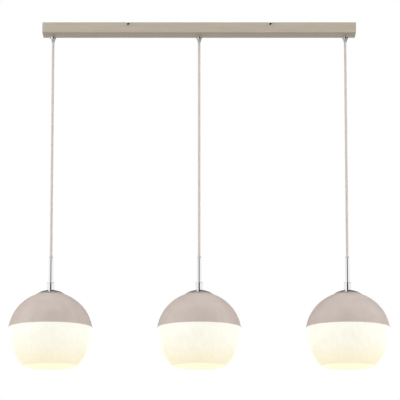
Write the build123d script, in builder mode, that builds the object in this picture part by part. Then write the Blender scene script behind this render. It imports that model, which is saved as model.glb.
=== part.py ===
"""Linear island pendant: a slim ceiling bar with three round shades on cords.

Millimetres, +Z up. The origin is the middle of the ceiling face of the bar, the
bar runs along X, and the front of the lamp looks along -Y. The shades hang below.
"""
import os
from math import sqrt

from build123d import *

# ---- Ceiling bar: a shallow folded steel tray, open towards the ceiling
bar_length = 750
bar_depth = 55
bar_height = 25
bar_wall = 1.2
fold_radius = 1.0
floor_fold_radius = 0.9

# ---- Ceiling brackets: two straps that the bar is hung on
bracket_spacing = 340
bracket_width = 30
bracket_wall = 1.5
bracket_leg = 14
bracket_clearance = 0.3
ceiling_slot_width = 4.6
ceiling_slot_length = 10
ceiling_slot_spacing = 26

# ---- Side screws, M4, in slots that are open at the top edge of the bar
side_screw_radius = 2.0
side_screw_length = 10
side_screw_head_radius = 4.4
side_screw_head_height = 3.0
side_screw_head_round = 2.1
side_screw_drop = 5.0
side_slot_clearance = 0.25
thread_clearance = 0.05
driver_slot_width = 1.0
driver_slot_depth = 1.2

# ---- Three hanging lights
pendant_pitch = 350
cord_radius = 3.0
cord_free_length = 520
cord_clearance = 0.15

# ---- Cord gland, one for each cord, screwed through the floor of the bar
gland_thread_radius = 4.95
gland_hole_clearance = 0.15
gland_body_radius = 6.9
gland_body_length = 10.5
gland_cone_length = 7.5
gland_tip_wall = 0.8
gland_nut_height = 3.2
gland_nut_across_flats = 14
gland_thread_spare = 1.2
grip_screw_radius = 1.5
grip_screw_head_radius = 2.6
grip_screw_head_height = 1.8
grip_screw_drop = 5.2
grip_slot_width = 0.7
grip_slot_depth = 0.7

# ---- Leads inside the bar
core_radius = 0.85
core_gap = 0.2
lead_layer_step = 2.0
lead_row_step = 2.2
lead_row_first = 10.0
lead_bend_radius = 1.65
lead_stop = 1.0
bond_front_gap = 4.4
tail_spare = 0.4

# ---- Terminal block and earth point, on studs welded to the floor of the bar
terminal_x = 85
terminal_y = -3
terminal_pitch = 10
terminal_width = 16
terminal_height = 18
terminal_poles = 3
terminal_bore = 3.2
terminal_bore_height = 10.2
terminal_screw_radius = 1.7
terminal_screw_length = 4.0
terminal_screw_sink = 0.8
terminal_slot_width = 0.6
terminal_bevel = 3.0
terminal_groove_width = 1.2
terminal_groove_depth = 10.8
terminal_tab_length = 9
terminal_tab_width = 12
terminal_tab_height = 3
stud_radius = 2.0
stud_hole_clearance = 0.15
stud_spare = 1.0
stud_nut_height = 3.2
stud_nut_across_flats = 7
earth_stud_gap = 17
earth_lug_wall = 0.8
earth_lug_radius = 4.2
earth_barrel_radius = 1.6
earth_barrel_length = 8
earth_crimp_length = 3.4

# ---- Stem between the cord and the shade
bush_height = 4
bush_wall = 1.3
bush_plug_wall = 1.55
bush_plug_depth = 7
stem_wall = 0.9
stem_length = 59
stem_bore_clearance = 0.4
stem_thread_radius = 4.95
collar_wall = 3.2
collar_height = 19
collar_floor = 2
collar_edge = 1.2
stem_thread_spare = 3.3
stem_lead_spare = 3.0
stem_fit = 0.05

# ---- Shade: a painted steel half shell over an opal glass globe
shade_radius = 100
shell_wall = 0.7
shell_skirt = 15.8
glass_gap = 0.25
glass_wall = 3.0
glass_mouth_drop = 76
neck_clearance = 1.1
seat_gap = 0.25

# ---- Chrome cap on top of the shade
cap_above_ball = 4
cap_overlap = 12.5
cap_wall = 1.0
cap_rim_width = 1.5
cap_pad_radius = 9.5
cap_hole_clearance = 0.15
# How the dome falls away from its flat middle: 1 is a cone, 2 is a bowl.
cap_curve = 1.6

# ---- Lampholder, E27, and the ring that clamps the shade to it
holder_radius = 19.4
holder_cap_wall = 2.0
holder_cap_floor = 3.0
holder_cap_drop = 5.0
holder_boss_radius = 6.5
holder_cap_height = 19
holder_height = 34
holder_spigot_height = 5
holder_floor = 6
holder_cap_round = 2.4
holder_mouth_round = 1.5
ring_fit = 0.1
ring_flange_width = 5.5
ring_flange_height = 2.4
ring_hub_wall = 3.0
ring_height = 9
ring_notches = 18
ring_notch_radius = 1.2
sleeve_wall = 0.6
sleeve_height = 24
sleeve_fit = 0.05
tongue_wall = 0.5
tongue_radius = 6
tongue_gap = 0.1

# ---- Bulb, standard pear shape with an E27 base
bulb_base_radius = 13.2
bulb_base_height = 22
bulb_tip_radius = 5
bulb_tip_height = 3.4
bulb_tip_wall = 0.8
bulb_thread_clearance = 0.15
bulb_neck_length = 10
bulb_neck_inset = 0.6
bulb_radius = 30
bulb_length = 81
bulb_wall = 0.8

# ---- Sizes of pieces that fit round one another, worked out from the inside out
bush_radius = cord_radius + bush_wall
bush_plug_radius = cord_radius + bush_plug_wall
stem_bore_radius = cord_radius + stem_bore_clearance
stem_radius = bush_plug_radius + stem_fit + stem_wall
collar_radius = stem_radius + stem_fit + collar_wall
neck_radius = holder_radius + neck_clearance
cap_rise = shade_radius + cap_above_ball
cap_radius = neck_radius + cap_overlap
ring_bore_radius = holder_radius + ring_fit
ring_hub_radius = ring_bore_radius + ring_hub_wall
ring_flange_radius = ring_hub_radius + ring_flange_width
holder_bore_radius = bulb_base_radius + bulb_thread_clearance + sleeve_wall + sleeve_fit

# ---- Places worked out from the sizes above
bar_floor = bar_wall - bar_height
gland_tip = -bar_height - gland_body_length - gland_cone_length
bend_centre = gland_tip - cord_radius - cord_clearance
cord_top = bend_centre - cord_radius - cord_clearance
cord_bottom = gland_tip - cord_free_length
stem_top = cord_bottom - bush_height
collar_top = stem_top - stem_length
cap_top = collar_top - collar_height
shade_centre = cap_top - cap_rise
glass_radius = shade_radius - shell_wall - glass_gap
glass_bore_radius = glass_radius - glass_wall
holder_cap_top = cap_top - holder_cap_drop
holder_top = holder_cap_top - holder_cap_height
holder_bottom = holder_top - holder_height
bulb_top = holder_top - holder_floor - sleeve_fit - tongue_wall - tongue_gap
bulb_base_bottom = bulb_top - bulb_tip_height - bulb_base_height
gland_thread_top = bar_floor + gland_nut_height + gland_thread_spare
lead_start = gland_thread_top + tail_spare
terminal_bore_z = bar_floor + terminal_bore_height
terminal_top = bar_floor + terminal_height
terminal_half = terminal_pitch * terminal_poles / 2
block_stud_x = terminal_x + terminal_half + terminal_tab_length / 2
earth_stud_x = block_stud_x + earth_stud_gap
earth_barrel_z = bar_floor + earth_lug_wall / 2 + earth_barrel_radius
earth_barrel_end = terminal_y - earth_barrel_length
pendants = {"left": -pendant_pitch, "centre": 0, "right": pendant_pitch}
bracket_places = {"left": -bracket_spacing / 2, "right": bracket_spacing / 2}


def side_plane(x):
    """The upright plane through a pendant's axis: its own X is X, its own Y is up."""
    return Plane(origin=(x, 0, 0), x_dir=(1, 0, 0), z_dir=(0, -1, 0))


def upright(x):
    """The axis that a pendant's round pieces are turned about."""
    return Axis((x, 0, 0), (0, 0, 1))


def turned(x, points):
    """Turns an outline of straight lines, given as radius and height, about a pendant's axis."""
    with BuildSketch(side_plane(x)) as outline:
        with BuildLine():
            Polyline(*points, close=True)
        make_face()
    revolve(outline.sketch, axis=upright(x))


def height_on_ball(ball_radius, at_radius):
    """How far above the middle of a ball its surface is, at a distance from its axis."""
    return sqrt(ball_radius**2 - at_radius**2)


def write(piece, name):
    """Labels a finished piece and writes it under its own name."""
    piece.part.label = name
    export_step(piece.part, f"parts/{name}.step")


# ---------------------------------------------------------------- ceiling bar

def make_canopy_cover():
    """The folded tray, with gland holes, side slots and two welded studs."""
    with BuildPart() as cover:
        with BuildSketch(Plane.XY.offset(-bar_height)):
            Rectangle(bar_length, bar_depth)
        extrude(amount=bar_height)
        fillet(cover.edges().filter_by(Axis.Z), fold_radius)
        fillet(cover.faces().sort_by(Axis.Z)[0].edges(), floor_fold_radius)
        with BuildSketch(Plane.XY.offset(bar_floor)):
            Rectangle(bar_length - 2 * bar_wall, bar_depth - 2 * bar_wall)
        extrude(amount=bar_height, mode=Mode.SUBTRACT)
        with BuildSketch(Plane.XY.offset(-bar_height)):
            with Locations(*[(x, 0) for x in pendants.values()]):
                Circle(gland_thread_radius + gland_hole_clearance)
        extrude(amount=bar_wall, mode=Mode.SUBTRACT)
        slot_width = 2 * (side_screw_radius + side_slot_clearance)
        with BuildSketch(Plane.XZ.offset(bar_depth / 2)):
            for x in bracket_places.values():
                with Locations((x, -side_screw_drop)):
                    Circle(slot_width / 2)
                with Locations((x, -side_screw_drop / 2)):
                    Rectangle(slot_width, side_screw_drop)
        extrude(amount=-bar_depth, mode=Mode.SUBTRACT)
        with BuildSketch(Plane.XY.offset(bar_floor)):
            with Locations((block_stud_x, terminal_y)):
                Circle(stud_radius)
        extrude(amount=terminal_tab_height + stud_nut_height + stud_spare)
        with BuildSketch(Plane.XY.offset(bar_floor)):
            with Locations((earth_stud_x, terminal_y)):
                Circle(stud_radius)
        extrude(amount=earth_lug_wall + stud_nut_height + stud_spare)
    return cover


def make_ceiling_bracket(x):
    """A strap bent down at both ends, with slots for the ceiling screws."""
    half_depth = bar_depth / 2 - bar_wall - bracket_clearance
    with BuildPart() as bracket:
        with BuildSketch(Plane.YZ.offset(x - bracket_width / 2)):
            with BuildLine():
                Polyline(
                    (-half_depth, -bracket_leg),
                    (-half_depth, 0),
                    (half_depth, 0),
                    (half_depth, -bracket_leg),
                    (half_depth - bracket_wall, -bracket_leg),
                    (half_depth - bracket_wall, -bracket_wall),
                    (bracket_wall - half_depth, -bracket_wall),
                    (bracket_wall - half_depth, -bracket_leg),
                    close=True,
                )
            make_face()
        extrude(amount=bracket_width)
        folds = bracket.edges().filter_by(Axis.X).group_by(Axis.Z)[-1]
        fillet(folds, bracket_wall)
        with BuildSketch(Plane.XY.offset(-bracket_wall)):
            with Locations((x, -ceiling_slot_spacing / 2), (x, ceiling_slot_spacing / 2)):
                SlotOverall(ceiling_slot_length, ceiling_slot_width)
        extrude(amount=bracket_wall, mode=Mode.SUBTRACT)
        with BuildSketch(Plane.XZ.offset(bar_depth / 2)):
            with Locations((x, -side_screw_drop)):
                Circle(side_screw_radius + thread_clearance)
        extrude(amount=-bar_depth, mode=Mode.SUBTRACT)
    return bracket


def make_side_screws():
    """Four pan head screws that pull the bar up to its brackets."""
    with BuildPart() as screws:
        for x in bracket_places.values():
            for facing in (-1, 1):
                seat = Plane(
                    origin=(x, facing * bar_depth / 2, -side_screw_drop),
                    x_dir=(1, 0, 0),
                    z_dir=(0, facing, 0),
                )
                with BuildSketch(seat):
                    Circle(side_screw_head_radius)
                head = extrude(amount=side_screw_head_height)
                top = head.edges().sort_by(lambda e: facing * e.center().Y)[-1]
                fillet(top, side_screw_head_round)
                with BuildSketch(seat.offset(-side_screw_length)):
                    Circle(side_screw_radius)
                extrude(amount=side_screw_length)
                with BuildSketch(seat.offset(side_screw_head_height)):
                    Rectangle(2 * side_screw_head_radius, driver_slot_width)
                extrude(amount=-driver_slot_depth, mode=Mode.SUBTRACT)
    return screws


def make_cord_glands():
    """Three turned cord glands: a thread through the bar's floor, a body and a cone."""
    bore = cord_radius + cord_clearance
    grip_z = -bar_height - grip_screw_drop
    with BuildPart() as glands:
        for x in pendants.values():
            turned(x, [
                (bore, gland_thread_top),
                (gland_thread_radius, gland_thread_top),
                (gland_thread_radius, -bar_height),
                (gland_body_radius, -bar_height),
                (gland_body_radius, -bar_height - gland_body_length),
                (bore + gland_tip_wall, gland_tip),
                (bore, gland_tip),
            ])
        with BuildSketch(Plane.XZ.offset(-2 * gland_body_radius)):
            with Locations(*[(x, grip_z) for x in pendants.values()]):
                Circle(grip_screw_radius + thread_clearance)
        extrude(amount=2 * gland_body_radius, mode=Mode.SUBTRACT)
    return glands


def make_gland_nuts():
    """Hexagon nuts that hold the glands from inside the bar."""
    with BuildPart() as nuts:
        with BuildSketch(Plane.XY.offset(bar_floor)):
            with Locations(*[(x, 0) for x in pendants.values()]):
                RegularPolygon(gland_nut_across_flats / 2, 6, major_radius=False)
                Circle(gland_thread_radius + thread_clearance, mode=Mode.SUBTRACT)
        extrude(amount=gland_nut_height)
    return nuts


def make_grip_screws():
    """Small screws at the back of the glands that pinch the cords at the set height."""
    grip_z = -bar_height - grip_screw_drop
    with BuildPart() as screws:
        for x in pendants.values():
            with BuildSketch(Plane.XZ.offset(-cord_radius)):
                with Locations((x, grip_z)):
                    Circle(grip_screw_radius)
            extrude(amount=cord_radius - gland_body_radius)
            with BuildSketch(Plane.XZ.offset(-gland_body_radius)):
                with Locations((x, grip_z)):
                    Circle(grip_screw_head_radius)
            extrude(amount=-grip_screw_head_height)
            with BuildSketch(Plane.XZ.offset(-gland_body_radius - grip_screw_head_height)):
                with Locations((x, grip_z)):
                    Rectangle(2 * grip_screw_head_radius, grip_slot_width)
            extrude(amount=grip_slot_depth, mode=Mode.SUBTRACT)
    return screws


def make_cord_tails():
    """The sheathed end of each cord, held in its gland and cut back inside the bar."""
    with BuildPart() as tails:
        with BuildSketch(Plane.XY.offset(gland_tip)):
            with Locations(*[(x, 0) for x in pendants.values()]):
                Circle(cord_radius)
        extrude(amount=lead_start - gland_tip)
    return tails


# ------------------------------------------------------------ wiring in the bar

def lead_route(pendant_index, pole):
    """Up out of the sheath, back, along the bar and into the terminal block."""
    x = list(pendants.values())[pendant_index]
    towards = 1 if x < terminal_x else -1
    row = pole if towards > 0 else terminal_poles - 1 - pole
    start_x = x + towards * (1 - row) * (2 * core_radius + core_gap)
    row_y = lead_row_first + row * lead_row_step
    layer = terminal_bore_z + (1 - pendant_index) * lead_layer_step
    pole_x = terminal_x + (pole - 1) * terminal_pitch
    return [
        (start_x, 0, lead_start),
        (start_x, 0, layer),
        (start_x, row_y, layer),
        (pole_x, row_y, layer),
        (pole_x, terminal_y + lead_stop, layer),
    ]


def earth_bond_route():
    """From the earth pole, round in front of the block and down to the earth stud."""
    pole_x = terminal_x + terminal_pitch
    front = terminal_y - terminal_width / 2 - bond_front_gap
    return [
        (pole_x, terminal_y - lead_stop, terminal_bore_z),
        (pole_x, front, terminal_bore_z),
        (earth_stud_x, front, terminal_bore_z),
        (earth_stud_x, front, earth_barrel_z),
        (earth_stud_x, earth_barrel_end + lead_stop, earth_barrel_z),
    ]


def run_lead(points):
    """One insulated core along its route."""
    with BuildLine() as route:
        FilletPolyline(*points, radius=lead_bend_radius)
    with BuildSketch(Plane(origin=route.line @ 0, z_dir=route.line % 0)) as section:
        Circle(core_radius)
    sweep(section.sketch, path=route.line)


def make_leads(pole):
    """The three cores of one colour, one from each cord."""
    with BuildPart() as leads:
        for pendant_index in range(len(pendants)):
            run_lead(lead_route(pendant_index, pole))
        if pole == terminal_poles - 1:
            run_lead(earth_bond_route())
    return leads


def make_terminal_block():
    """A three pole block with a tab at one end for its stud."""
    with BuildPart() as block:
        with BuildSketch(Plane.XY.offset(bar_floor)):
            with Locations((terminal_x, terminal_y)):
                Rectangle(2 * terminal_half, terminal_width)
        extrude(amount=terminal_height)
        chamfer(block.faces().sort_by(Axis.Z)[-1].edges().filter_by(Axis.X), terminal_bevel)
        with BuildSketch(Plane.XY.offset(terminal_top)):
            with Locations((terminal_x, terminal_y)):
                with GridLocations(terminal_pitch, 0, terminal_poles - 1, 1):
                    Rectangle(terminal_groove_width, terminal_width)
        extrude(amount=-terminal_groove_depth, mode=Mode.SUBTRACT)
        with BuildSketch(Plane.XY.offset(bar_floor)):
            with Locations((block_stud_x, terminal_y)):
                Rectangle(terminal_tab_length, terminal_tab_width)
        extrude(amount=terminal_tab_height)
        with BuildSketch(Plane.XY.offset(bar_floor)):
            with Locations((block_stud_x, terminal_y)):
                Circle(stud_radius + stud_hole_clearance)
        extrude(amount=terminal_tab_height, mode=Mode.SUBTRACT)
        with BuildSketch(Plane.XZ.offset(bar_depth / 2)):
            with Locations((terminal_x, terminal_bore_z)):
                with GridLocations(terminal_pitch, 0, terminal_poles, 1):
                    Circle(terminal_bore)
        extrude(amount=-bar_depth, mode=Mode.SUBTRACT)
        with BuildSketch(Plane.XY.offset(terminal_top)):
            with Locations((terminal_x, terminal_y)):
                with GridLocations(terminal_pitch, terminal_width / 2, terminal_poles, 2):
                    Circle(terminal_screw_radius + thread_clearance)
        extrude(amount=terminal_bore_z - terminal_top, mode=Mode.SUBTRACT)
    return block


def make_terminal_screws():
    """Two clamping screws for each pole, sunk below the top of the block."""
    screw_top = terminal_top - terminal_screw_sink
    with BuildPart() as screws:
        with BuildSketch(Plane.XY.offset(screw_top)):
            with Locations((terminal_x, terminal_y)):
                with GridLocations(terminal_pitch, terminal_width / 2, terminal_poles, 2):
                    Circle(terminal_screw_radius)
        extrude(amount=-terminal_screw_length)
        with BuildSketch(Plane.XY.offset(screw_top)):
            with Locations((terminal_x, terminal_y)):
                with GridLocations(terminal_pitch, terminal_width / 2, terminal_poles, 2):
                    Rectangle(2 * terminal_screw_radius, terminal_slot_width)
        extrude(amount=-driver_slot_depth, mode=Mode.SUBTRACT)
    return screws


def make_earth_lug():
    """A ring lug with its crimped barrel, on the earth stud."""
    with BuildPart() as lug:
        with BuildSketch(Plane.XY.offset(bar_floor)):
            with Locations((earth_stud_x, terminal_y)):
                Circle(earth_lug_radius)
            with Locations((earth_stud_x, terminal_y - earth_barrel_length / 2)):
                Rectangle(2 * earth_barrel_radius, earth_barrel_length)
            with Locations((earth_stud_x, terminal_y)):
                Circle(stud_radius + stud_hole_clearance, mode=Mode.SUBTRACT)
        extrude(amount=earth_lug_wall)
        with BuildSketch(Plane.XZ.offset(-earth_barrel_end)):
            with Locations((earth_stud_x, earth_barrel_z)):
                Circle(earth_barrel_radius)
                Circle(core_radius + core_gap / 2, mode=Mode.SUBTRACT)
        extrude(amount=-earth_crimp_length)
    return lug


def make_stud_nuts():
    """Nuts on the two welded studs, over the block's tab and over the earth lug."""
    seats = {
        block_stud_x: bar_floor + terminal_tab_height,
        earth_stud_x: bar_floor + earth_lug_wall,
    }
    with BuildPart() as nuts:
        for x, z in seats.items():
            with BuildSketch(Plane.XY.offset(z)):
                with Locations((x, terminal_y)):
                    RegularPolygon(stud_nut_across_flats / 2, 6, major_radius=False)
                    Circle(stud_radius + thread_clearance, mode=Mode.SUBTRACT)
            extrude(amount=stud_nut_height)
    return nuts


# -------------------------------------------------------------- cord and stem

def make_cord_bend(x):
    """The short stretch just under the gland where the cord flexes, as a ball."""
    with BuildPart() as bend:
        with Locations((x, 0, bend_centre)):
            Sphere(cord_radius)
    return bend


def make_cord(x):
    """The free stretch of the cord, pulled straight by the shade."""
    with BuildPart() as cord:
        with BuildSketch(Plane(origin=(x, 0, cord_bottom))):
            Circle(cord_radius)
        extrude(amount=cord_top - cord_bottom)
    return cord


def make_stem_bush(x):
    """A bush that keeps the cord off the edge of the stem."""
    bore = cord_radius + cord_clearance
    with BuildPart() as bush:
        turned(x, [
            (bore, cord_bottom),
            (bush_radius, cord_bottom),
            (bush_radius, stem_top),
            (bush_plug_radius, stem_top),
            (bush_plug_radius, stem_top - bush_plug_depth),
            (bore, stem_top - bush_plug_depth),
        ])
        top = bush.edges().filter_by(GeomType.CIRCLE).group_by(Axis.Z)[-1].sort_by(SortBy.RADIUS)[-1]
        fillet(top, (bush_radius - bore) / 2)
    return bush


def make_stem(x):
    """A chromed tube, threaded below where it goes through the collar, cap and holder."""
    thread_top = cap_top + collar_floor
    thread_bottom = holder_cap_top - holder_cap_floor - stem_thread_spare
    pocket = bush_plug_radius + stem_fit
    with BuildPart() as stem:
        turned(x, [
            (pocket, stem_top),
            (stem_radius, stem_top),
            (stem_radius, thread_top),
            (stem_thread_radius, thread_top),
            (stem_thread_radius, thread_bottom),
            (stem_bore_radius, thread_bottom),
            (stem_bore_radius, stem_top - bush_plug_depth - cord_clearance),
            (pocket, stem_top - bush_plug_depth - cord_clearance),
        ])
    return stem


def make_stem_collar(x):
    """The wider sleeve that locks the stem on the cap."""
    with BuildPart() as collar:
        turned(x, [
            (stem_radius + stem_fit, collar_top),
            (collar_radius, collar_top),
            (collar_radius, cap_top),
            (stem_thread_radius + stem_fit, cap_top),
            (stem_thread_radius + stem_fit, cap_top + collar_floor),
            (stem_radius + stem_fit, cap_top + collar_floor),
        ])
        rims = collar.edges().filter_by(GeomType.CIRCLE).filter_by(
            lambda e: abs(e.radius - collar_radius) < stem_fit
        )
        fillet(rims, collar_edge)
    return collar


def make_stem_lead(x):
    """The cord on its way down the inside of the stem to the lampholder."""
    lead_end = holder_top + holder_spigot_height + stem_lead_spare
    with BuildPart() as lead:
        with BuildSketch(Plane(origin=(x, 0, lead_end))):
            Circle(cord_radius)
        extrude(amount=cord_bottom - lead_end)
    return lead


# ---------------------------------------------------------------------- shade

def make_shade_cap(x):
    """A shallow chromed dome that sits on the shell and covers the lampholder."""
    rim_outer = shade_centre + height_on_ball(shade_radius, cap_radius) + seat_gap
    rim_inner_radius = cap_radius - cap_rim_width
    rim_z = max(rim_outer, shade_centre + height_on_ball(shade_radius + seat_gap, rim_inner_radius))
    hole = stem_thread_radius + cap_hole_clearance
    shoulder = (cap_pad_radius + cap_radius) / 2
    drop = cap_top - rim_z - cap_wall
    shoulder_share = (shoulder - cap_pad_radius) / (cap_radius - cap_pad_radius)
    middle = cap_top - drop * shoulder_share**cap_curve
    with BuildPart() as cap:
        with BuildSketch(side_plane(x)):
            with BuildLine():
                Line((hole, cap_top), (cap_pad_radius, cap_top))
                ThreePointArc((cap_pad_radius, cap_top), (shoulder, middle), (cap_radius, rim_z + cap_wall))
                Line((cap_radius, rim_z + cap_wall), (cap_radius, rim_z))
                Line((cap_radius, rim_z), (rim_inner_radius, rim_z))
                ThreePointArc(
                    (rim_inner_radius, rim_z),
                    (shoulder, middle - cap_wall),
                    (cap_pad_radius, cap_top - cap_wall),
                )
                Line((cap_pad_radius, cap_top - cap_wall), (hole, cap_top - cap_wall))
                Line((hole, cap_top - cap_wall), (hole, cap_top))
            make_face()
        revolve(axis=upright(x))
    return cap


def ball_shell(x, outer, wall, low):
    """A wall of a ball, from the neck hole down to a level cut, about the shade's middle."""
    inner = outer - wall
    neck_outer = (neck_radius, shade_centre + height_on_ball(outer, neck_radius))
    neck_inner = (neck_radius, shade_centre + height_on_ball(inner, neck_radius))
    edge_outer = (height_on_ball(outer, low), shade_centre + low)
    edge_inner = (height_on_ball(inner, low), shade_centre + low)
    middle = (low + height_on_ball(outer, neck_radius)) / 2
    side_outer = (height_on_ball(outer, middle), shade_centre + middle)
    side_inner = (height_on_ball(inner, middle), shade_centre + middle)
    with BuildSketch(side_plane(x)) as outline:
        with BuildLine():
            ThreePointArc(neck_outer, side_outer, edge_outer)
            Line(edge_outer, edge_inner)
            ThreePointArc(edge_inner, side_inner, neck_inner)
            Line(neck_inner, neck_outer)
        make_face()
    revolve(outline.sketch, axis=upright(x))


def make_shade_shell(x):
    """The painted steel upper half."""
    with BuildPart() as shell:
        ball_shell(x, shade_radius, shell_wall, shell_skirt)
        hem = shell.edges().filter_by(GeomType.CIRCLE).group_by(Axis.Z)[0].sort_by(SortBy.RADIUS)[-1]
        fillet(hem, shell_wall / 3)
    return shell


def make_shade_glass(x):
    """The opal globe, open below, with a ground and polished mouth."""
    with BuildPart() as glass:
        ball_shell(x, glass_radius, glass_wall, -glass_mouth_drop)
        mouth = glass.edges().filter_by(GeomType.CIRCLE).group_by(Axis.Z)[0]
        fillet(mouth, glass_wall / 3)
    return glass


# ----------------------------------------------------------------- lampholder

def make_holder_cap(x):
    """The upper half of the lampholder: the stem screws into it and the ring onto it."""
    inner = holder_radius - holder_cap_wall
    dome_clear = cap_top - cap_wall - seat_gap
    with BuildPart() as cap:
        turned(x, [
            (stem_thread_radius + stem_fit, dome_clear),
            (holder_boss_radius, dome_clear),
            (holder_boss_radius, holder_cap_top),
            (holder_radius, holder_cap_top),
            (holder_radius, holder_top),
            (inner, holder_top),
            (inner, holder_cap_top - holder_cap_floor),
            (stem_thread_radius + stem_fit, holder_cap_top - holder_cap_floor),
        ])
        shoulder = cap.edges().filter_by(GeomType.CIRCLE).filter_by(
            lambda e: abs(e.radius - holder_radius) < stem_fit
        ).sort_by(Axis.Z)[-1]
        fillet(shoulder, holder_cap_round)
    return cap


def make_holder_body(x):
    """The lower half of the lampholder, with its insulating floor and the mouth for the bulb."""
    spigot = holder_radius - holder_cap_wall - ring_fit
    bore = holder_bore_radius
    floor = holder_top - holder_floor
    with BuildPart() as body:
        turned(x, [
            (cord_radius, holder_top + holder_spigot_height),
            (spigot, holder_top + holder_spigot_height),
            (spigot, holder_top),
            (holder_radius, holder_top),
            (holder_radius, holder_bottom),
            (bore, holder_bottom),
            (bore, floor),
            (cord_radius, floor),
        ])
        mouth = body.edges().filter_by(GeomType.CIRCLE).group_by(Axis.Z)[0]
        fillet(mouth, min(holder_mouth_round, (holder_radius - holder_bore_radius) / 3))
    return body


def make_holder_contacts(x):
    """The threaded sleeve and the centre tongue that meet the bulb."""
    inner = bulb_base_radius + bulb_thread_clearance
    outer = inner + sleeve_wall
    floor = holder_top - holder_floor
    with BuildPart() as contacts:
        turned(x, [
            (inner, floor - sleeve_fit),
            (outer, floor - sleeve_fit),
            (outer, floor - sleeve_fit - sleeve_height),
            (inner, floor - sleeve_fit - sleeve_height),
        ])
        with BuildSketch(Plane(origin=(x, 0, floor - sleeve_fit))):
            Circle(tongue_radius)
        extrude(amount=-tongue_wall)
    return contacts


def make_shade_ring(x):
    """The ring that screws up the lampholder and clamps the glass and shell to the cap."""
    seat = shade_centre + height_on_ball(glass_bore_radius - seat_gap, ring_flange_radius)
    with BuildPart() as ring:
        turned(x, [
            (ring_bore_radius, seat),
            (ring_flange_radius, seat),
            (ring_flange_radius, seat - ring_flange_height),
            (ring_hub_radius, seat - ring_flange_height),
            (ring_hub_radius, seat - ring_height),
            (ring_bore_radius, seat - ring_height),
        ])
        with BuildSketch(Plane(origin=(x, 0, seat - ring_flange_height))):
            with PolarLocations(ring_flange_radius, ring_notches):
                Circle(ring_notch_radius)
        extrude(amount=ring_flange_height, mode=Mode.SUBTRACT)
    return ring


# ----------------------------------------------------------------------- bulb

def make_bulb_base(x):
    """The screw base with its tip."""
    with BuildPart() as base:
        turned(x, [
            (0, bulb_top),
            (bulb_tip_radius, bulb_top),
            (bulb_tip_radius, bulb_top - bulb_tip_wall),
            (bulb_base_radius, bulb_top - bulb_tip_height),
            (bulb_base_radius, bulb_base_bottom),
            (0, bulb_base_bottom),
        ])
    return base


def pear(x, inset, mode):
    """The pear shape of the bulb, or the space inside it where inset is its wall."""
    neck = bulb_base_radius - bulb_neck_inset - inset
    widest = bulb_radius - inset
    neck_end = bulb_base_bottom - bulb_neck_length
    middle = bulb_base_bottom - bulb_length + bulb_radius
    with BuildSketch(side_plane(x)) as outline:
        with BuildLine():
            Line((0, bulb_base_bottom), (neck, bulb_base_bottom))
            Line((neck, bulb_base_bottom), (neck, neck_end))
            Spline((neck, neck_end), (widest, middle), tangents=((0, -1), (0, -1)))
            RadiusArc((widest, middle), (0, middle - widest), widest)
            Line((0, middle - widest), (0, bulb_base_bottom))
        make_face()
    revolve(outline.sketch, axis=upright(x), mode=mode)


def make_bulb_glass(x):
    """The thin frosted pear, open at its neck."""
    with BuildPart() as glass:
        pear(x, 0, Mode.ADD)
        pear(x, bulb_wall, Mode.SUBTRACT)
    return glass


# -------------------------------------------------------------- write it all

os.makedirs("parts", exist_ok=True)

write(make_canopy_cover(), "canopy_cover")
for side, x in bracket_places.items():
    write(make_ceiling_bracket(x), f"{side}_ceiling_bracket")
write(make_side_screws(), "side_screws")
write(make_cord_glands(), "cord_glands")
write(make_gland_nuts(), "gland_nuts")
write(make_grip_screws(), "grip_screws")
write(make_cord_tails(), "cord_tails")
write(make_leads(0), "live_leads")
write(make_leads(1), "neutral_leads")
write(make_leads(2), "earth_leads")
write(make_terminal_block(), "terminal_block")
write(make_terminal_screws(), "terminal_screws")
write(make_earth_lug(), "earth_lug")
write(make_stud_nuts(), "stud_nuts")

pendant_pieces = {
    "cord_bend": make_cord_bend,
    "cord": make_cord,
    "stem_bush": make_stem_bush,
    "stem": make_stem,
    "stem_collar": make_stem_collar,
    "stem_lead": make_stem_lead,
    "shade_cap": make_shade_cap,
    "shade_shell": make_shade_shell,
    "shade_glass": make_shade_glass,
    "holder_cap": make_holder_cap,
    "holder_body": make_holder_body,
    "holder_contacts": make_holder_contacts,
    "shade_ring": make_shade_ring,
    "bulb_base": make_bulb_base,
    "bulb_glass": make_bulb_glass,
}
for side, x in pendants.items():
    for piece_name, make in pendant_pieces.items():
        write(make(x), f"{side}_{piece_name}")

print(f"gland tip z {gland_tip:.2f}, cord flexes at z {bend_centre:.2f}")
print(f"cord from z {cord_top:.2f} to {cord_bottom:.2f}, straight, so it has no bend radius")
print(f"stem top z {stem_top:.2f}, cap top z {cap_top:.2f}, shade centre z {shade_centre:.2f}")
print(f"glass mouth z {shade_centre - glass_mouth_drop:.2f}")
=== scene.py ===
from math import atan2, cos, pi, radians, sin, sqrt

import bpy
from mathutils import Matrix, Vector


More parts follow.
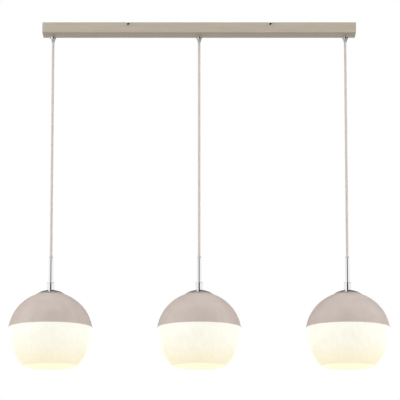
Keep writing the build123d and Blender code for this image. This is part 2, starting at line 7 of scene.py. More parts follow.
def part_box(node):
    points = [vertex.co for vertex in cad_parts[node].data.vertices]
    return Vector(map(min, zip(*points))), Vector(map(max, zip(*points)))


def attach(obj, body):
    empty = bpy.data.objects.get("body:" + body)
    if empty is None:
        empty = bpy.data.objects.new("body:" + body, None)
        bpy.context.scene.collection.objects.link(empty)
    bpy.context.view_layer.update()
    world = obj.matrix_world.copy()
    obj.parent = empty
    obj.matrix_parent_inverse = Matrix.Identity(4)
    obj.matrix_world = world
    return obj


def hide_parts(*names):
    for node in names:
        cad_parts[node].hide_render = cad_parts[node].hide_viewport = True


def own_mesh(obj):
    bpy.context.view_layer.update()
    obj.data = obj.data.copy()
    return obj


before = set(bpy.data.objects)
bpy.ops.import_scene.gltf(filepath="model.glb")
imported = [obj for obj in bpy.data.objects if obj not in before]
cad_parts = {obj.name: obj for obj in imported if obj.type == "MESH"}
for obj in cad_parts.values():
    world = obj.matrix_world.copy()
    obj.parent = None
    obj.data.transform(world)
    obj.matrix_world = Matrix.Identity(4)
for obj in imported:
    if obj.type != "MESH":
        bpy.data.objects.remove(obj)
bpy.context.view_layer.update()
mm = 0.001
print("frame loaded:", len(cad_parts), "nodes")

pendants = ("left", "centre", "right")


def sizesOf(node):
    # a round node's middle along the bar, its radius, and its lowest and highest point, in mm
    low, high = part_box(node)
    return (low.x + high.x) / 2 / mm, (high.x - low.x) / 2 / mm, low.z / mm, high.z / mm


pendantX = {side: sizesOf(f"{side}_cord")[0] for side in pendants}
barLow, barHigh = [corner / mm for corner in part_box("canopy_cover")]
barFloor = sizesOf("gland_nuts")[2]
bendLow, bendHigh = sizesOf("centre_cord_bend")[2:]
bendCentre = (bendLow + bendHigh) / 2  # where a cord swings from its gland
cordRadius, cordBottom = sizesOf("centre_cord")[1:3]
glassRadius, mouthZ = sizesOf("centre_shade_glass")[1:3]
skirtZ = sizesOf("centre_shade_shell")[2]
shadeCentre = -749.0  # height of the middle of the shades' balls
shadeRadius = 100.0
hair = 0.01  # mm within which two places count as the same
past = 1  # mm that a cutter goes past what it cuts

# the camera: a long lens below the shades that looks a little up at the bar
cameraSettings = {"place": (0.002, -6.5, -1.669), "pitch": 10.32, "lens": 251.0, "shift": 0.06}


def makeCamera():
    data = bpy.data.cameras.new("photoCamera")
    data.lens = cameraSettings["lens"]
    data.sensor_width = 36
    data.shift_y = cameraSettings["shift"]
    data.clip_end = 60
    camera = bpy.data.objects.new("photoCamera", data)
    camera.location = cameraSettings["place"]
    camera.rotation_euler = (radians(90 + cameraSettings["pitch"]), 0, 0)
    bpy.context.scene.collection.objects.link(camera)
    bpy.context.scene.camera = camera


makeCamera()


def nothingSelected():
    if bpy.context.object and bpy.context.object.mode != "OBJECT":
        bpy.ops.object.mode_set(mode="OBJECT")
    bpy.ops.object.select_all(action="DESELECT")


def onlySelected(piece):
    nothingSelected()
    piece.select_set(True)
    bpy.context.view_layer.objects.active = piece


def named(name):
    # names what was just added, and puts its place in its mesh
    piece = bpy.context.object
    piece.name = piece.data.name = name
    bpy.ops.object.transform_apply(location=True, rotation=True, scale=True)
    return piece


def applied(piece, kind, **settings):
    onlySelected(piece)
    modifier = piece.modifiers.new(kind.title(), kind)
    for setting, value in settings.items():
        setattr(modifier, setting, value)
    bpy.ops.object.modifier_apply(modifier=modifier.name)


def roundedEdges(piece, width):
    applied(
        piece, "BEVEL", width=width * mm, segments=2, limit_method="ANGLE",
        angle_limit=radians(30), use_clamp_overlap=True,
    )


def smooth(piece, angle=35):
    onlySelected(piece)
    bpy.ops.object.shade_smooth_by_angle(angle=radians(angle))


def copied(piece, name, shift, turn=None):
    twin = piece.copy()
    twin.data = piece.data.copy()
    twin.name = twin.data.name = name
    bpy.context.scene.collection.objects.link(twin)
    place = Matrix.Translation(Vector(shift) * mm)
    twin.data.transform(place @ turn if turn else place)
    return twin


def joined(name, parts):
    nothingSelected()
    for part in parts:
        part.select_set(True)
    bpy.context.view_layer.objects.active = parts[0]
    bpy.ops.object.join()
    return named(name)


def cutWith(piece, *cutters):
    for cutter in cutters:
        applied(piece, "BOOLEAN", operation="DIFFERENCE", object=cutter, solver="MANIFOLD")
        bpy.data.objects.remove(cutter)


def rod(radius, start, end, sides=32):
    # a cylinder from one point to another, in mm
    start, end = Vector(start), Vector(end)
    along = end - start
    nothingSelected()
    bpy.ops.mesh.primitive_cylinder_add(
        vertices=sides, radius=radius * mm, depth=along.length * mm,
        location=(start + end) / 2 * mm, rotation=along.to_track_quat("Z", "Y").to_euler(),
    )
    return named("cutter")


def slotCutter(radius, start, end, reach):
    # a rod that is drawn out sideways, for a slot with round ends
    piece = rod(radius, start, end)
    for vertex in piece.data.vertices:
        if (vertex.co / mm - Vector(start)).dot(Vector(reach)) > -0.001:
            vertex.co += Vector(reach) * mm
    return piece


def block(low, high, name="cutter"):
    low, high = Vector(low), Vector(high)
    nothingSelected()
    bpy.ops.mesh.primitive_cube_add(
        size=1, location=(low + high) / 2 * mm, scale=(high - low) * mm
    )
    return named(name)


def held(outline):
    # a long straight run gets a ring near each end, so that reflections run straight along it
    longRun, hold = 5.0, 0.2
    points = outline[:1]
    for start, end in zip(outline, outline[1:]):
        start, end = Vector(start), Vector(end)
        if (end - start).length > longRun:
            step = (end - start).normalized() * hold
            points += [tuple(start + step), tuple(end - step)]
        points.append(tuple(end))
    return points


def turned(name, outline, sides=64, loop=True):
    # a circle drawn up ring by ring, as radius and height in mm; a radius of 0 closes it
    outline = held(outline)
    radius, height = outline[0]
    nothingSelected()
    bpy.ops.mesh.primitive_circle_add(
        vertices=sides, radius=radius * mm, location=(0, 0, height * mm), fill_type="NOTHING"
    )
    piece = named(name)
    bpy.ops.object.mode_set(mode="EDIT")
    bpy.ops.mesh.select_all(action="SELECT")
    for nextRadius, nextHeight in outline[1:] + (outline[:1] if loop else []):
        bpy.ops.mesh.extrude_edges_move(
            TRANSFORM_OT_translate={"value": (0, 0, (nextHeight - height) * mm)}
        )
        if nextRadius == 0:
            bpy.ops.mesh.merge(type="CENTER")
            break
        grow = nextRadius / radius
        if abs(grow - 1) > 1e-9:
            bpy.ops.transform.resize(value=(grow, grow, 1), center_override=(0, 0, nextHeight * mm))
        radius, height = nextRadius, nextHeight
    bpy.ops.mesh.select_all(action="SELECT")
    bpy.ops.mesh.remove_doubles(threshold=1e-7)
    if not loop:  # fills the ring that it started from
        bpy.ops.mesh.select_all(action="DESELECT")
        bpy.ops.mesh.select_non_manifold()
        bpy.ops.mesh.edge_face_add()
        bpy.ops.mesh.select_all(action="SELECT")
    bpy.ops.mesh.normals_make_consistent(inside=False)
    bpy.ops.object.mode_set(mode="OBJECT")
    return piece


def arc(centreRadius, centreHeight, size, start, end, steps):
    # points of an arc in an outline, by its angle in degrees from level
    angles = [radians(start + (end - start) * step / steps) for step in range(steps + 1)]
    return [(centreRadius + size * cos(a), centreHeight + size * sin(a)) for a in angles]


def threadRings(radius, depth, pitch, start, end, steps=2):
    # the crests and roots of a thread, drawn as rings; more steps make it a rolled one
    count = int(abs(end - start) / pitch) * steps
    way = 1 if end > start else -1
    return [
        (
            radius - depth * (1 - cos(2 * pi * step / steps)) / 2,
            start + way * (step / steps + 0.25) * pitch,
        )
        for step in range(count)
    ]


def chosen(piece, kind, test):
    # selects the edges or faces whose corners, in mm, pass a test, and stays in edit mode
    onlySelected(piece)
    bpy.ops.object.mode_set(mode="EDIT")
    bpy.ops.mesh.select_mode(type=kind)
    bpy.ops.mesh.select_all(action="DESELECT")
    bpy.ops.object.mode_set(mode="OBJECT")
    for item in piece.data.edges if kind == "EDGE" else piece.data.polygons:
        item.select = test([piece.data.vertices[index].co / mm for index in item.vertices])
    bpy.ops.object.mode_set(mode="EDIT")


def done():
    bpy.ops.mesh.select_mode(type="VERT")
    bpy.ops.object.mode_set(mode="OBJECT")


def bevelEdges(piece, width, segments, test):
    chosen(piece, "EDGE", test)
    bpy.ops.mesh.bevel(offset=width * mm, segments=segments, affect="EDGES")
    done()


def deleteFaces(piece, test):
    chosen(piece, "FACE", test)
    bpy.ops.mesh.delete(type="FACE")
    done()


def onPlane(corners, axis, size):
    return all(abs(abs(corner[axis]) - size) < hair for corner in corners)


def reliefRound(piece, inner, low, high, count, share, depth):
    # presses notches or flutes into a turned piece, where it is wider than a radius
    for vertex in piece.data.vertices:
        reach = Vector(vertex.co[:2]).length / mm
        if reach < inner or not low < vertex.co.z / mm < high:
            continue
        around = (atan2(vertex.co.y, vertex.co.x) / (2 * pi) * count + 0.01) % 1
        if around < share:
            vertex.co.x *= 1 - depth / reach
            vertex.co.y *= 1 - depth / reach


# the nuts: hexagons with their corners turned off; those of the studs sit on the terminal
# block's tab and on the earth lug
nutSettings = {
    "height": 3.2, "crown": 1.3, "edge": 0.12, "glandNut": (14, 5.0), "studNut": (7, 2.05),
    "studSeats": (3.0, 0.8),
}


def hexNut(name, low, centre):
    acrossFlats, bore = nutSettings[name]
    high = low + nutSettings["height"]
    crownEnd = high - nutSettings["crown"]
    nothingSelected()
    bpy.ops.mesh.primitive_cylinder_add(
        vertices=6, radius=acrossFlats / sqrt(3) * mm, depth=(high - low) * mm,
        location=(centre[0] * mm, centre[1] * mm, (low + high) / 2 * mm), rotation=(0, 0, pi / 6),
    )
    nut = named(name)
    crown = turned("crown", [  # the cone that takes the corners off a nut
        (acrossFlats, high + past), (acrossFlats / 2, high + past), (acrossFlats / 2, high),
        (acrossFlats / 2 + 2, crownEnd), (acrossFlats, crownEnd),
    ], sides=48)
    crown.data.transform(Matrix.Translation(Vector((*centre, 0)) * mm))
    cutWith(nut, crown, rod(bore, (*centre, low - past), (*centre, high + past), 48))
    roundedEdges(nut, nutSettings["edge"])
    smooth(nut, 30)
    return nut


def linear(hexColour):
    parts = [int(hexColour[i : i + 2], 16) / 255 for i in (1, 3, 5)]
    return [c / 12.92 if c <= 0.04045 else ((c + 0.055) / 1.055) ** 2.4 for c in parts] + [1]


def addNode(material, kind, values=None, links=None, **settings):
    node = material.node_tree.nodes.new("ShaderNode" + kind)
    for setting, value in settings.items():
        setattr(node, setting, value)
    for socket, value in (values or {}).items():
        node.inputs[socket].default_value = value
    for socket, source in (links or {}).items():
        material.node_tree.links.new(source, node.inputs[socket])
    return node


def newMaterial(name, colour, metallic=0.0, roughness=0.5, **values):
    material = bpy.data.materials.new(name)
    material.use_nodes = True
    shader = material.node_tree.nodes["Principled BSDF"]
    shader.inputs["Base Color"].default_value = linear(colour)
    shader.inputs["Metallic"].default_value = metallic
    shader.inputs["Roughness"].default_value = roughness
    for socket, value in values.items():
        shader.inputs[socket.replace("_", " ")].default_value = value
    return material, shader


def patternAt(material, sizes):
    # object coordinates measured in the pattern's own size, in mm along x, y and z
    place = addNode(material, "TexCoord")
    return addNode(
        material, "Mapping", {"Scale": [1 / (size * mm) for size in sizes]},
        {"Vector": place.outputs["Object"]},
    ).outputs["Vector"]


def noiseAt(material, sizes, detail=2.0, roughness=0.5):
    return addNode(
        material, "TexNoise", {"Scale": 1.0, "Detail": detail, "Roughness": roughness},
        {"Vector": patternAt(material, sizes)},
    ).outputs["Fac"]


def colourFrom(material, shader, factor, dark, light, low=0.3, high=0.7):
    ramp = addNode(material, "ValToRGB", links={"Fac": factor})
    ramp.color_ramp.elements[0].position = low
    ramp.color_ramp.elements[0].color = linear(dark)
    ramp.color_ramp.elements[1].position = high
    ramp.color_ramp.elements[1].color = linear(light)
    material.node_tree.links.new(ramp.outputs["Color"], shader.inputs["Base Color"])


def roughnessFrom(material, shader, factor, low, high):
    spread = addNode(
        material, "MapRange", {"From Min": 0.3, "From Max": 0.7, "To Min": low, "To Max": high},
        {"Value": factor},
    )
    material.node_tree.links.new(spread.outputs["Result"], shader.inputs["Roughness"])


def bumpFrom(material, shader, factor, depth):
    # depth in mm
    bump = addNode(material, "Bump", {"Distance": depth * mm}, {"Height": factor})
    material.node_tree.links.new(bump.outputs["Normal"], shader.inputs["Normal"])


def brushedNickelPlate():
    # steel, nickel plated, brushed along the bar and lacquered: a soft warm grey with long
    # faint streaks. The real grain is about 0.1 mm and is drawn 1.4 mm wide, so that it shows.
    material, shader = newMaterial("brushedNickelPlate", "#C9BFAE", metallic=0.3, roughness=0.45)
    grain = noiseAt(material, (70, 1.4, 1.4), detail=3)
    colourFrom(material, shader, grain, "#C3B9A8", "#CFC5B4")
    roughnessFrom(material, shader, grain, 0.38, 0.48)
    bumpFrom(material, shader, grain, 0.02)
    return material


def polishedChromePlate():
    # turned brass or steel, polished and chromed: a sharp mirror with a faint haze of handling
    material, shader = newMaterial("polishedChromePlate", "#EDEDEE", metallic=1.0, roughness=0.05)
    haze = noiseAt(material, (9, 9, 9), detail=4)
    roughnessFrom(material, shader, haze, 0.03, 0.09)
    return material


def zincPlatedSteel():
    # stamped steel with bright zinc: a cool grey with cloudy patches about 6 mm across
    material, shader = newMaterial("zincPlatedSteel", "#B9BBBC", metallic=0.9, roughness=0.36)
    cloud = noiseAt(material, (6, 6, 6), detail=4)
    colourFrom(material, shader, cloud, "#AFB1B2", "#C4C6C6")
    roughnessFrom(material, shader, cloud, 0.3, 0.46)
    bumpFrom(material, shader, noiseAt(material, (0.8, 0.8, 0.8)), 0.01)
    return material


def extrudedPvcSheath():
    # PVC drawn over twisted cores: a warm pale taupe, half matt, with faint slow marks along it
    material, shader = newMaterial("extrudedPvcSheath", "#CAC0B7", roughness=0.45)
    marks = noiseAt(material, (5, 5, 60))
    colourFrom(material, shader, marks, "#CBC1B8", "#CEC5BC")
    roughnessFrom(material, shader, marks, 0.4, 0.52)
    bumpFrom(material, shader, noiseAt(material, (0.7, 0.7, 2.4)), 0.008)
    return material


def coreInsulation(name, colour, dark):
    # PVC core insulation, drawn smooth: an even gloss colour with slight marks from handling
    material, shader = newMaterial(name, colour, roughness=0.32)
    marks = noiseAt(material, (5, 2, 2), detail=3)
    colourFrom(material, shader, marks, dark, colour)
    roughnessFrom(material, shader, marks, 0.28, 0.4)
    return material


def earthInsulation():
    # PVC core insulation drawn in two colours: green with a yellow stripe along it
    material, shader = newMaterial("earthInsulationPvc", "#4E8A35", roughness=0.32)
    place = addNode(material, "NewGeometry")
    split = addNode(material, "SeparateXYZ", links={"Vector": place.outputs["Normal"]})
    stripe = addNode(
        material, "Math", {1: 0.35}, {0: split.outputs["Z"]}, operation="GREATER_THAN"
    )
    colourFrom(material, shader, stripe.outputs[0], "#4E8A35", "#D9C531", 0.45, 0.55)
    return material


def mouldedPolyamide():
    # natural polyamide from a mould: off-white, a fine spark-eroded grain of about 0.6 mm
    material, shader = newMaterial("mouldedPolyamide", "#E6E4DC")
    grain = noiseAt(material, (0.6, 0.6, 0.6))
    colourFrom(material, shader, noiseAt(material, (14, 14, 14)), "#DEDBD1", "#ECEAE3")
    bumpFrom(material, shader, grain, 0.03)
    return material


def stampedBrass():
    # thin rolled brass, pressed to shape: yellow, with darker streaks from the rolling
    material, shader = newMaterial("stampedBrass", "#C9A45A", metallic=1.0, roughness=0.3)
    streaks = noiseAt(material, (1.2, 1.2, 7), detail=3)
    colourFrom(material, shader, streaks, "#B48E45", "#D6B26A")
    roughnessFrom(material, shader, streaks, 0.22, 0.4)
    return material


def clearPolycarbonate():
    # clear bush from a mould, slightly milky: takes the cord's colour, with a soft gloss
    material, shader = newMaterial(
        "clearPolycarbonate", "#E4E0DB", roughness=0.22, Transmission_Weight=0.35, IOR=1.58
    )
    colourFrom(material, shader, noiseAt(material, (4, 4, 4)), "#DAD5CF", "#ECE9E5")
    return material


def powderCoatedSteel():
    # spun steel with a matt powder coat: an even warm taupe over a fine orange peel of 1.2 mm
    material, shader = newMaterial("powderCoatedSteel", "#C2B4AC", Specular_IOR_Level=0.8)
    cloud = noiseAt(material, (30, 30, 30))
    peel = noiseAt(material, (1.2, 1.2, 1.2))
    colourFrom(material, shader, cloud, "#BFB1A9", "#C6B9B1")
    roughnessFrom(material, shader, peel, 0.44, 0.56)
    bumpFrom(material, shader, peel, 0.03)
    return material


def opalTriplexGlass():
    # clear glass blown over a white layer. Its light is a painted glow, emission that stands in for
    # the bulb's light through it: even and warm, a little deeper towards the mouth, with the cloudy
    # streaks of the opal about 18 mm long
    material, shader = newMaterial("opalTriplexGlass", "#8E8B86", roughness=0.25)
    place = addNode(material, "TexCoord")
    split = addNode(material, "SeparateXYZ", links={"Vector": place.outputs["Object"]})
    height = addNode(
        material, "MapRange", {"From Min": mouthZ * mm, "From Max": skirtZ * mm},
        {"Value": split.outputs["Z"]},
    )
    clouds = noiseAt(material, (9, 9, 18), detail=5, roughness=0.6)
    cloudy = addNode(
        material, "Math", {1: 0.28, 2: -0.14}, {0: clouds}, operation="MULTIPLY_ADD"
    )
    total = addNode(
        material, "Math", links={0: height.outputs["Result"], 1: cloudy.outputs[0]},
        operation="ADD",
    )
    # painted glow: emission for the bulb's light through the glass, deeper towards the mouth and
    # streaked by the opal's clouds
    paintedGlow = addNode(material, "ValToRGB", links={"Fac": total.outputs[0]})
    stops = paintedGlow.color_ramp.elements
    stops[0].position = 0.0
    stops[0].color = linear("#E0D6B5")
    stops[1].position = 1.0
    stops[1].color = linear("#DBDAD0")
    for position, colour in ((0.2, "#DFD9BD"), (0.45, "#DEDBCA")):
        stops.new(position).color = linear(colour)
    material.node_tree.links.new(paintedGlow.outputs["Color"], shader.inputs["Emission Color"])
    shader.inputs["Emission Strength"].default_value = 1.0
    colourFrom(material, shader, clouds, "#87847F", "#95928D")
    return material


def mouldedThermoplastic():
    # glass-filled polyester from a mould: warm white, matt, with a fine grain
    material, shader = newMaterial("mouldedThermoplastic", "#DFDBD2", roughness=0.46)
    colourFrom(material, shader, noiseAt(material, (12, 12, 12)), "#D7D2C8", "#E6E3DB")
    bumpFrom(material, shader, noiseAt(material, (0.5, 0.5, 0.5)), 0.02)
    return material


def rolledAluminium():
    # thin aluminium rolled into the bulb's thread: pale grey, with fine rings from the rolling
    material, shader = newMaterial("rolledAluminium", "#C6C7C8", metallic=1.0, roughness=0.3)
    rings = noiseAt(material, (30, 30, 0.8))
    colourFrom(material, shader, rings, "#B9BABC", "#D0D1D2")
    roughnessFrom(material, shader, rings, 0.24, 0.38)
    return material


def frostedBulbGlass():
    # thin glass frosted inside and lit: near white, with warmer frost patches about 12 mm across
    material, shader = newMaterial("frostedBulbGlass", "#F3EBD8", roughness=0.3)
    frost = noiseAt(material, (12, 12, 12), detail=3)
    colourFrom(material, shader, frost, "#E9DFC8", "#F5EEDD")
    shader.inputs["Emission Color"].default_value = linear("#FFF8E8")
    shader.inputs["Emission Strength"].default_value = 1.1
    return material


nickel = brushedNickelPlate()
chrome = polishedChromePlate()
zinc = zincPlatedSteel()
sheath = extrudedPvcSheath()
liveCore = coreInsulation("liveInsulationPvc", "#7A4526", "#6B3B1F")
neutralCore = coreInsulation("neutralInsulationPvc", "#2F66B0", "#28589A")
earthCore = earthInsulation()
polyamide = mouldedPolyamide()
brass = stampedBrass()
clearPlastic = clearPolycarbonate()
powderCoat = powderCoatedSteel()
opalGlass = opalTriplexGlass()
thermoplastic = mouldedThermoplastic()
aluminium = rolledAluminium()
frosted = frostedBulbGlass()
print("materials made:", len(bpy.data.materials))


def fitted(piece, material, slot, body, *nodes):
    # gives a finished piece its finish, its body and the nodes that it stands for
    piece.data.materials.clear()
    piece.data.materials.append(material)
    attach(piece, body)
    if nodes:
        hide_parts(*nodes)


def onEachPendant(piece, title, material, slot, nodeEnd, bodyEnd="pendant"):
    # copies what was modelled on the middle line to the three pendants
    for side in pendants:
        twin = copied(piece, side + title, (pendantX[side], 0, 0))
        fitted(twin, material, slot, f"{side}_{bodyEnd}", f"{side}_{nodeEnd}")
    bpy.data.objects.remove(piece)


# the cords: a round sheath over three twisted cores, pulled straight by the shade
cordSettings = {
    "sides": 24, "ringsPerSpan": 60, "twistPitch": 38.0, "twistDepth": 0.02, "straightEnd": 36.0,
    "raised": 400.0, "intoLead": 0.15, "tailTop": -19.0,
}


def cordPath(points):
    curve = bpy.data.curves.new("cordRoute", "CURVE")
    curve.dimensions = "3D"
    spline = curve.splines.new("NURBS")
    spline.points.add(len(points) - 1)
    for point, place in zip(spline.points, points):
        point.co = (*(Vector(place) * mm), 1)
    spline.order_u = 3
    spline.use_endpoint_u = True
    spline.resolution_u = cordSettings["ringsPerSpan"]
    holder = bpy.data.objects.new("cordRoute", curve)
    bpy.context.scene.collection.objects.link(holder)
    mesh = bpy.data.meshes.new_from_object(holder)
    path = [vertex.co.copy() for vertex in mesh.vertices]
    bpy.data.objects.remove(holder)
    bpy.data.meshes.remove(mesh)
    return path


def dome(centre, radius, way):
    # the rounded end of a cord, from its side to its tip
    points = arc(0, centre, radius, 0, 90 * way, 6)[:-1]
    return points + [(0, centre + way * radius)]


def twistRelief(piece, top, bottom):
    # the cores show through the sheath as three shallow ridges that wind down the cord
    for vertex in piece.data.vertices:
        height = vertex.co.z / mm
        if not bottom < height < top:
            continue
        around = atan2(vertex.co.y, vertex.co.x)
        turn = around + 2 * pi * height / cordSettings["twistPitch"]
        shrink = cordSettings["twistDepth"] * (1 - cos(3 * turn)) / 2 / cordRadius
        vertex.co.x *= 1 - shrink
        vertex.co.y *= 1 - shrink


def makeCords():
    end, radius = cordSettings["straightEnd"], cordRadius
    heights = [bendCentre, bendCentre - end, cordBottom + end, cordBottom]
    for side in pendants:
        x = pendantX[side]
        path = cordPath([(x, 0, height) for height in heights])
        rings = [(radius, point.z / mm) for point in path]
        # its cut end goes a little way into the lead in the stem
        endZ = cordBottom - cordSettings["intoLead"]
        rim = [(radius, cordBottom + 0.05), (0.9 * radius, endZ), (0, endZ)]
        outline = dome(bendCentre, radius, 1)[::-1][1:]
        cord = turned("cord", outline + rings[1:-1] + rim, cordSettings["sides"], loop=False)
        twistRelief(cord, bendCentre - end, cordBottom + end / 2)
        smooth(cord, 60)
        cord.name = cord.data.name = side + "Cord"
        cord.data.transform(Matrix.Translation((x * mm, 0, 0)))
        fitted(cord, sheath, "cord_sheath", f"{side}_hanger", f"{side}_cord")
        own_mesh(cord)


makeCords()
print("cords made")

# the bar: a folded tray, open towards the ceiling, with punched holes and two welded studs
barSettings = {
    "wall": 1.2, "foldRadius": 1.0, "edgeBreak": 0.2, "glandHole": 5.1, "screwX": 170.0,
    "screwDrop": 5.0, "slotWidth": 4.5, "studRadius": 2.0,
    "studPlaces": ((104.5, -3.0, -16.6), (121.5, -3.0, -18.8)),
}


def makeBar():
    bar = barSettings
    long, deep, bottom = barHigh.x, barHigh.y, barLow.z
    tray = block(barLow, barHigh, "barTray")
    deleteFaces(tray, lambda c: all(corner.z > -hair for corner in c))
    applied(tray, "SOLIDIFY", thickness=bar["wall"] * mm, offset=-1, use_even_offset=True)
    bevelEdges(
        tray, bar["foldRadius"], 5,
        lambda c: onPlane(c, 0, long) + onPlane(c, 1, deep) + onPlane(c, 2, -bottom) > 1,
    )
    bevelEdges(tray, bar["edgeBreak"], 2, lambda c: all(corner.z > -hair for corner in c))
    for x in pendantX.values():
        start, end = (x, 0, bottom - past), (x, 0, barFloor + past)
        cutWith(tray, rod(bar["glandHole"], start, end, 48))
    half, drop = bar["slotWidth"] / 2, bar["screwDrop"]
    for x in (-bar["screwX"], bar["screwX"]):
        start, end = (x, -deep - past, -drop), (x, deep + past, -drop)
        cutWith(tray, slotCutter(half, start, end, (0, 0, drop + 2)))
    studs = []
    for x, y, top in bar["studPlaces"]:
        radius = bar["studRadius"]
        stud = turned("stud", [  # it widens at its foot, where it is welded on
            (1.45 * radius, barFloor - 0.1), (1.4 * radius, barFloor + 0.15),
            (1.05 * radius, barFloor + 0.5), (radius, barFloor + 0.7),
            *threadRings(radius, 0.22, 0.7, barFloor + 0.8, top - 0.5),
            (radius - 0.5, top), (0, top),
        ], sides=32, loop=False)
        stud.data.transform(Matrix.Translation(Vector((x, y, 0)) * mm))
        studs.append(stud)
    smooth(tray, 30)
    for stud in studs:
        smooth(stud, 50)
    fitted(joined("barTray", [tray, *studs]), nickel, "brushed_bar", "canopy", "canopy_cover")


makeBar()
print("bar made")

# the two straps that are screwed to the ceiling
strapSettings = {
    "wall": 1.5, "fold": 1.5, "slotLength": 10.0, "slotWidth": 4.6, "slotY": 13.0, "tapped": 2.05,
}


def makeStraps():
    strap = strapSettings
    for side in ("left", "right"):
        low, high = [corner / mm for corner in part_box(f"{side}_ceiling_bracket")]
        x, deep, bottom = (low.x + high.x) / 2, high.y, low.z
        piece = block(low, high, side + "CeilingStrap")
        deleteFaces(piece, lambda c: (  # the underside and both ends
            all(corner.z < bottom + hair for corner in c)
            or all(abs(abs(corner.x - x) - (high.x - x)) < hair for corner in c)
            and abs(sum(corner.x - x for corner in c)) > 1
        ))
        applied(piece, "SOLIDIFY", thickness=strap["wall"] * mm, offset=-1, use_even_offset=True)
        bevelEdges(piece, strap["fold"], 5, lambda c: onPlane(c, 1, deep) and onPlane(c, 2, 0))
        reach = (strap["slotLength"] - strap["slotWidth"]) / 2
        half = strap["slotWidth"] / 2
        for y in (-strap["slotY"], strap["slotY"]):
            start, end = (x - reach, y, -2 * strap["wall"]), (x - reach, y, past)
            cutWith(piece, slotCutter(half, start, end, (2 * reach, 0, 0)))
        drop = barSettings["screwDrop"]
        start, end = (x, -deep - past, -drop), (x, deep + past, -drop)
        cutWith(piece, rod(strap["tapped"], start, end))
        smooth(piece, 30)
        fitted(piece, zinc, "zinc_steel", "canopy", f"{side}_ceiling_bracket")


makeStraps()
print("ceiling straps made")

# screws: each is a shank with its thread, a head, and a slot for the driver
screwSettings = {
    "side": {
        "shank": 2.0, "length": 10.0, "pitch": 0.7, "head": 4.4, "height": 3.0, "round": 2.1,
        "slot": 1.0, "slotDepth": 1.2,
    },
    "grip": {
        "shank": 1.5, "length": 3.9, "pitch": 0.5, "head": 2.6, "height": 1.8, "round": 0.6,
        "slot": 0.7, "slotDepth": 0.7,
    },
    "terminal": {
        "shank": 1.7, "length": 3.0, "pitch": 0.5, "head": 1.7, "height": 1.0, "round": 0.25,
        "slot": 0.6, "slotDepth": 1.2,
    },
}
gripDrop = 30.2  # mm from the ceiling to the grip screws
onEachCord = [((x, 0, 0), None) for x in pendantX.values()]


def makeScrew(kind):
    # stands on its head's seat at the origin, with its head up
    screw = screwSettings[kind]
    shank, length, head, height = (screw[key] for key in ("shank", "length", "head", "height"))
    rounded = screw["round"]
    piece = turned("screw", [
        (0.65 * shank, -length), (0.9 * shank, -length + 0.3),
        *threadRings(shank, 0.13 * shank, screw["pitch"], -length + 0.35, -0.3),
        (0.9 * shank, 0), (head, 0),
        *arc(head - rounded, height - rounded, rounded, 0, 90, 8), (0, height),
    ], sides=40, loop=False)
    half = screw["slot"] / 2
    depth = height - screw["slotDepth"]
    cutWith(piece, block((-head - past, -half, depth), (head + past, half, height + past)))
    smooth(piece, 40)
    return piece


def copiesOf(piece, name, *places):
    # one piece made of copies, each with its shift in mm and how it is turned
    twins = [
        copied(piece, name + str(index), shift, turn)
        for index, (shift, turn) in enumerate(places)
    ]
    bpy.data.objects.remove(piece)
    return joined(name, twins)


def makeScrews():
    towardsFront = Matrix.Rotation(pi / 2, 4, "X")
    towardsBack = Matrix.Rotation(-pi / 2, 4, "X")
    deep, drop = barHigh.y, -barSettings["screwDrop"]
    places = []
    for x in (-barSettings["screwX"], barSettings["screwX"]):
        places += [((x, -deep, drop), towardsFront), ((x, deep, drop), towardsBack)]
    fitted(
        copiesOf(makeScrew("side"), "sideScrews", *places), chrome, "chrome", "canopy",
        "side_screws",
    )
    seat = glandSettings["body"]
    places = [((x, seat, -gripDrop), towardsBack) for x in pendantX.values()]
    fitted(
        copiesOf(makeScrew("grip"), "gripScrews", *places), zinc, "zinc_steel", "canopy",
        "grip_screws",
    )
    places = [
        ((x, y, blockSettings["screwSeat"]), None)
        for x in blockSettings["poles"] for y in blockSettings["screwRows"]
    ]
    fitted(
        copiesOf(makeScrew("terminal"), "terminalScrews", *places), brass, "brass_contacts",
        "canopy", "terminal_screws",
    )


# the glands: a thread through the bar's floor, a body and a cone that the cord comes out of
glandSettings = {
    "bore": 3.15, "thread": 4.95, "pitch": 1.0, "threadTop": -19.4, "body": 6.9,
    "bodyEnd": -35.5, "tip": -43.0, "tipRadius": 3.95, "edge": 0.35, "gripHole": 1.55,
}


def makeGlands():
    gland, bottom = glandSettings, barLow.z
    bore, thread, top = gland["bore"], gland["thread"], gland["threadTop"]
    body, edge, tip, tipRadius = (gland[key] for key in ("body", "edge", "tip", "tipRadius"))
    piece = turned("gland", [
        (bore, top), (thread - 0.4, top),
        *threadRings(thread, 0.35, gland["pitch"], top - 0.1, bottom + 0.7),
        (thread - 0.2, bottom), (body - edge, bottom),
        *arc(body - edge, bottom - edge, edge, 90, 0, 3),
        *arc(body - edge, gland["bodyEnd"] + edge, edge, 0, -60, 3),
        (tipRadius + 0.1, tip + 0.4), (tipRadius - 0.3, tip), (bore + 0.1, tip), (bore, tip + 0.2),
    ], sides=72)
    start, end = (0, 2, -gripDrop), (0, body + 2, -gripDrop)  # from the bore out to the back
    cutWith(piece, rod(gland["gripHole"], start, end))
    smooth(piece, 32)
    fitted(copiesOf(piece, "cordGlands", *onEachCord), chrome, "chrome", "canopy", "cord_glands")


def makeNuts():
    nuts = [hexNut("glandNut", barFloor, (x, 0)) for x in pendantX.values()]
    fitted(joined("glandNuts", nuts), zinc, "zinc_steel", "canopy", "gland_nuts")
    nuts = [
        hexNut("studNut", barFloor + seat, (x, y))
        for (x, y, _), seat in zip(barSettings["studPlaces"], nutSettings["studSeats"])
    ]
    fitted(joined("studNuts", nuts), zinc, "zinc_steel", "canopy", "stud_nuts")


